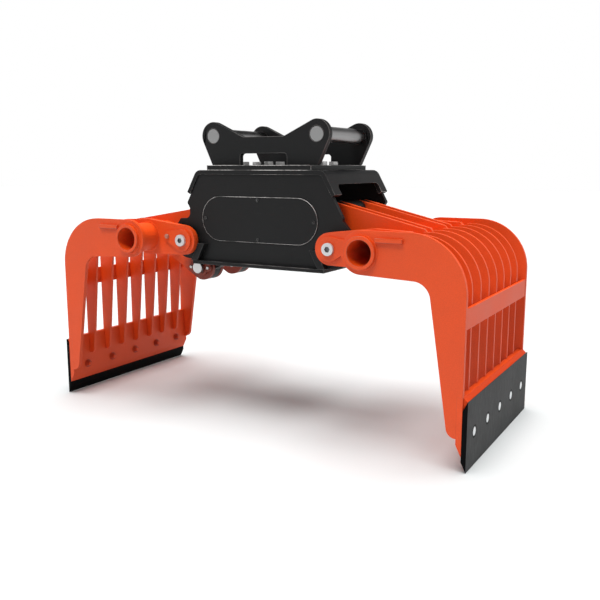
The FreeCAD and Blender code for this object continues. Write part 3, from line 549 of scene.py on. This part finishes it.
def mark_long_edges(shape):
    """Weights for a bevel that leaves out the short edges round small holes."""
    mesh = bmesh.new()
    mesh.from_mesh(shape)
    weight = mesh.edges.layers.float.new("bevel_weight_edge")
    for edge in mesh.edges:
        if edge.calc_length() > shortest_long_edge and edge.calc_face_angle(0) > sharp_angle:
            edge[weight] = 1.0
    mesh.to_mesh(shape)
    mesh.free()


def break_edges(piece, name):
    """Rounds the sharp edges, with faces in the piece's second finish, and evens the shading."""
    weld = piece.modifiers.new("weld", "WELD")
    weld.merge_threshold = same_point
    flat = piece.modifiers.new("flat", "DECIMATE")
    flat.decimate_type = "DISSOLVE"
    flat.angle_limit = flat_angle
    long_edges_only = name in long_edge_round
    if long_edges_only:
        mark_long_edges(evaluated(piece))
    usual = small_edge_round if name.endswith(small_nodes) else edge_round
    edges = piece.modifiers.new("edges", "BEVEL")
    edges.width = long_edge_round.get(name, usual)
    edges.segments = edge_steps
    edges.limit_method = "WEIGHT" if long_edges_only else "ANGLE"
    edges.use_clamp_overlap = not long_edges_only
    edges.angle_limit = sharp_angle
    edges.material = 1
    smooth_between_sharp_edges(evaluated(piece))
    even = piece.modifiers.new("even", "WEIGHTED_NORMAL")
    even.weight = 100
    even.keep_sharp = True
    return evaluated(piece)


def dressed_copy(name):
    """A copy of a node with broken edges and its finishes, which is shown in the node's place."""
    piece = bpy.data.objects.new("dressed_" + name, nodes[name].data.copy())
    dressed.objects.link(piece)
    piece.data.materials.clear()
    for finish in finish_of(name):
        piece.data.materials.append(finish)
    piece.data.polygons.foreach_set("material_index", [0] * len(piece.data.polygons))
    shape = break_edges(piece, name)
    for index, (test, finish) in enumerate(other_finish(name), start=len(shape.materials)):
        shape.materials.append(finish)
        for face in shape.polygons:
            if test(face.center, face.normal):
                face.material_index = index
    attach(piece, body_of_node[name])
    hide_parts(name)


for name in sorted(nodes):
    dressed_copy(name)


# Small fittings that the frame leaves out

def finished(name, mesh, body, finish):
    """Cleans the mesh of a fitting and makes a piece of it that rides on a body."""
    bmesh.ops.remove_doubles(mesh, verts=mesh.verts, dist=same_point)
    bmesh.ops.dissolve_degenerate(mesh, edges=mesh.edges, dist=same_point)
    bmesh.ops.recalc_face_normals(mesh, faces=mesh.faces)
    shape = bpy.data.meshes.new(name)
    mesh.to_mesh(shape)
    mesh.free()
    smooth_between_sharp_edges(shape)
    shape.materials.append(finish)
    piece = bpy.data.objects.new(name, shape)
    dressed.objects.link(piece)
    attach(piece, body)


def bridge(mesh, first, second):
    """A band of faces between two loops with as many corners each."""
    for i in range(len(first)):
        j = (i + 1) % len(first)
        mesh.faces.new((first[i], first[j], second[j], second[i]))


def closed_ring(mesh, loops):
    """A solid through neighbouring loops of points, from the last loop back to the first."""
    loops = [[mesh.verts.new(point) for point in loop] for loop in loops]
    for first, second in zip(loops, loops[1:] + loops[:1]):
        bridge(mesh, first, second)


def capped(mesh, loops):
    """A solid through neighbouring loops of points, closed by a face at each end."""
    loops = [[mesh.verts.new(point) for point in loop] for loop in loops]
    for first, second in zip(loops, loops[1:]):
        bridge(mesh, first, second)
    mesh.faces.new(loops[0])
    mesh.faces.new(loops[-1])


def circle(axis, centre, along, radius, steps=48):
    """A loop of points round the X or Y axis through centre, moved by along on that axis."""
    loop = []
    for i in range(steps):
        angle = 2 * math.pi * i / steps
        across, up = radius * math.cos(angle), radius * math.sin(angle)
        offset = (along, across, up) if axis == "X" else (across, along, up)
        loop.append(tuple(c + o for c, o in zip(centre, offset)))
    return loop


def washer(name, axis, centre, start, end, inner, outer, body, finish):
    """A washer with broken outer edges, or a disc where inner is nought."""
    broken = washer_edge_share * abs(end - start)
    turn = math.copysign(broken, end - start)
    profile = [(start, outer - broken), (start + turn, outer), (end - turn, outer), (end, outer - broken)]
    if inner:
        profile = [(start, inner)] + profile + [(end, inner)]
    mesh = bmesh.new()
    build = closed_ring if inner else capped
    build(mesh, [circle(axis, centre, along, radius) for along, radius in profile])
    finished(name, mesh, body, finish)


def tab_outline(trim):
    """Half a keeper, from a hollow round the pin to a round end, made smaller all round by trim."""
    reach, width = tab_hole_r + trim, tab_half_width - trim
    meet = math.asin(width / reach)
    pin_turns = [meet * share for share in (1, 0.5, 0, -0.5, -1)]
    round_pin = [(reach * math.cos(turn), reach * math.sin(turn)) for turn in pin_turns]
    middle = tab_length - tab_half_width
    steps = 24
    end_turns = [-math.pi / 2 + math.pi * i / steps for i in range(steps + 1)]
    return round_pin + [(middle + width * math.cos(turn), width * math.sin(turn)) for turn in end_turns]


def keeper_tab(name, side, start, end):
    """One half of a lug pin's keeper, which reaches from the pin past its bolt."""
    edge = math.copysign(tab_broken_edge, end - start)
    layers = ((start, tab_broken_edge), (start + edge, 0), (end - edge, 0), (end, tab_broken_edge))
    mesh = bmesh.new()
    capped(mesh, [[(lug_pin[0] + side * across, y, lug_pin[1] + up) for across, up in tab_outline(trim)]
                  for y, trim in layers])
    finished(name, mesh, "jaw_left", orange_painted_shade_round_lug_pin)


def weld_bead(name, x, y, body, steps=180, sections=8):
    """A rippled fillet weld round a torque tube, which runs along Y."""
    radius = tube_r + weld_lift
    loops = []
    for i in range(sections):
        turn = 2 * math.pi * i / sections
        loop = []
        for j in range(steps):
            angle = 2 * math.pi * j / steps
            ripple = weld_ripple * math.sin(weld_ripples * angle)
            wave = weld_wave * math.sin(weld_waves * angle + weld_wave_phase)
            swell = weld_size * (1 + ripple + wave)
            reach = radius + swell * math.cos(turn)
            loop.append((x + reach * math.cos(angle), y + swell * math.sin(turn),
                         tube_z + reach * math.sin(angle)))
        loops.append(loop)
    mesh = bmesh.new()
    closed_ring(mesh, loops)
    finished(name, mesh, body, orange)


def seam(side, jaw):
    """The painted seam that fills the groove between the carrier and the top of its cutting edge."""
    end_y = carrier_end_y - seam_end_inset
    mesh = bmesh.new()
    capped(mesh, [[(side * (carrier_outer_x + out), y, carrier_top - drop) for out, drop in seam_corners]
                  for y in (-end_y, end_y)])
    finished(f"{jaw}_carrier_seam", mesh, f"jaw_{jaw}", seam_orange)


for side, jaw in sides:
    seam(side, jaw)
    for end, face in ends:
        for plate, y in (("outer", side_face_y), ("inner", side_back_y), ("arm", arm_face_y)):
            weld_bead(f"{jaw}_{face}_{plate}_weld", side * tube_x, end * y, f"jaw_{jaw}")
    for i in range(-blade_bolts_beside_middle, blade_bolts_beside_middle + 1):
        bolt = (side * carrier_inner_x, i * blade_bolt_step, blade_bolt_height)
        washer(f"{jaw}_nut_washer_{i + blade_bolts_beside_middle + 1}", "X", bolt, start=0,
               end=-side * nut_washer_thickness, inner=nut_washer_hole_r, outer=nut_washer_r,
               body=f"jaw_{jaw}", finish=nut_orange_painted_shade)
for end, face in ends:
    top = end * (lug_boss_y + tab_thickness)
    for side, which in ((-1, "outer"), (1, "inner")):
        keeper_tab(f"lug_keeper_{face}_{which}", side, end * lug_boss_y, top)
        bolt = (lug_pin[0] + side * tab_bolt_run, 0, lug_pin[1])
        washer(f"lug_keeper_bolt_{face}_{which}", "Y", bolt, start=top, end=top + end * tab_thickness,
               inner=0, outer=tab_bolt_r, body="jaw_left", finish=hitch_zinc)


# Floor, lights and camera

ground = new_collection("ground")


def seen_directly(tree):
    """One for what the camera sees, also by way of metal or glass, and nought for light on its way."""
    path = tree.nodes.new("ShaderNodeLightPath")
    seen = arithmetic(tree, "MAXIMUM", path.outputs["Is Camera Ray"], path.outputs["Is Glossy Ray"])
    return arithmetic(tree, "MAXIMUM", seen, path.outputs["Is Transmission Ray"])


def floor():
    bpy.ops.mesh.primitive_plane_add(size=floor_size, location=(0, 0, 0))
    plane = bpy.context.active_object
    plane.name = "studio_floor"
    material, tree, shader = new_material("white_floor")
    drift = noise(tree, mapped(tree), scale=0.6, detail=2.0)
    white = ramp(tree, drift, 0.3, 0.7, (0.846, 0.870, 0.870), (0.866, 0.890, 0.890))
    tree.links.new(white, shader.inputs["Base Color"])
    shader.inputs["Roughness"].default_value = 0.9
    shader.inputs["Specular IOR Level"].default_value = 0.0
    plane.data.materials.append(material)
    ground.objects.link(plane)


def world():
    """A light wall all round with a darker ceiling; the camera, metal and glass see the wall as white."""
    studio = bpy.data.worlds.new("studio")
    bpy.context.scene.world = studio
    studio.use_nodes = True
    tree = studio.node_tree
    direction = tree.nodes.new("ShaderNodeSeparateXYZ")
    tree.links.new(tree.nodes.new("ShaderNodeTexCoord").outputs["Generated"], direction.inputs[0])
    up = direction.outputs["Z"]
    light = tree.nodes["Background"]
    dim_horizon = ramp(tree, up, 0.06, 0.30, grey(0.30), grey(1))
    dim_zenith = ramp(tree, up, 0.70, 0.95, grey(1), grey(0.40))
    tree.links.new(tint(tree, dim_horizon, dim_zenith), light.inputs["Color"])
    light.inputs["Strength"].default_value = wall_light
    white = tree.nodes.new("ShaderNodeBackground")
    tree.links.new(ramp(tree, up, 0.22, 0.50, grey(1), grey(0.06)), white.inputs["Color"])
    white.inputs["Strength"].default_value = 1.0
    mix = tree.nodes.new("ShaderNodeMixShader")
    tree.links.new(seen_directly(tree), mix.inputs["Fac"])
    tree.links.new(light.outputs["Background"], mix.inputs[1])
    tree.links.new(white.outputs["Background"], mix.inputs[2])
    tree.links.new(mix.outputs["Shader"], tree.nodes["World Output"].inputs["Surface"])


def aimed_lamp(name, kind, origin, energy):
    """A lamp at origin that shines towards the grapple's origin and isn't seen itself."""
    data = bpy.data.lights.new(name, kind)
    data.energy = energy
    lamp = bpy.data.objects.new(name, data)
    bpy.context.scene.collection.objects.link(lamp)
    lamp.location = origin
    lamp.rotation_euler = Vector(origin).to_track_quat("Z", "Y").to_euler()
    lamp.visible_glossy = False
    lamp.visible_camera = False
    return lamp


def far_light(name, origin, spread, energy, only_on=None):
    """A soft light from far away in the direction of origin, on everything or on one collection. Its spread
    is in degrees."""
    lamp = aimed_lamp(name, "SUN", origin, energy)
    lamp.data.angle = math.radians(spread)
    if only_on:
        lamp.light_linking.receiver_collection = only_on


def softbox(name, side, power):
    """A square lamp beside the grapple, which fades across its width."""
    aimed_lamp(name, "AREA", (side * softbox_x, 0, softbox_z), power).data.size = softbox_size


def camera():
    data = bpy.data.cameras.new("camera")
    data.sensor_width = camera_sensor
    data.lens = camera_lens
    view = bpy.data.objects.new("camera", data)
    bpy.context.scene.collection.objects.link(view)
    view.location = camera_place
    view.rotation_euler = (camera_tilt, 0, camera_turn)
    bpy.context.scene.camera = view


floor()
world()
far_light("overhead", above, spread=45, energy=2.0)
far_light("overhead_floor", above, spread=45, energy=0.95, only_on=ground)
far_light("front", front_high, spread=20, energy=2.28, only_on=dressed)
far_light("rear", rear_high, spread=20, energy=2.3, only_on=dressed)
softbox("right", side=1, power=2.5)
softbox("left", side=-1, power=2.5)
camera()
bpy.context.scene.view_settings.view_transform = "Standard"
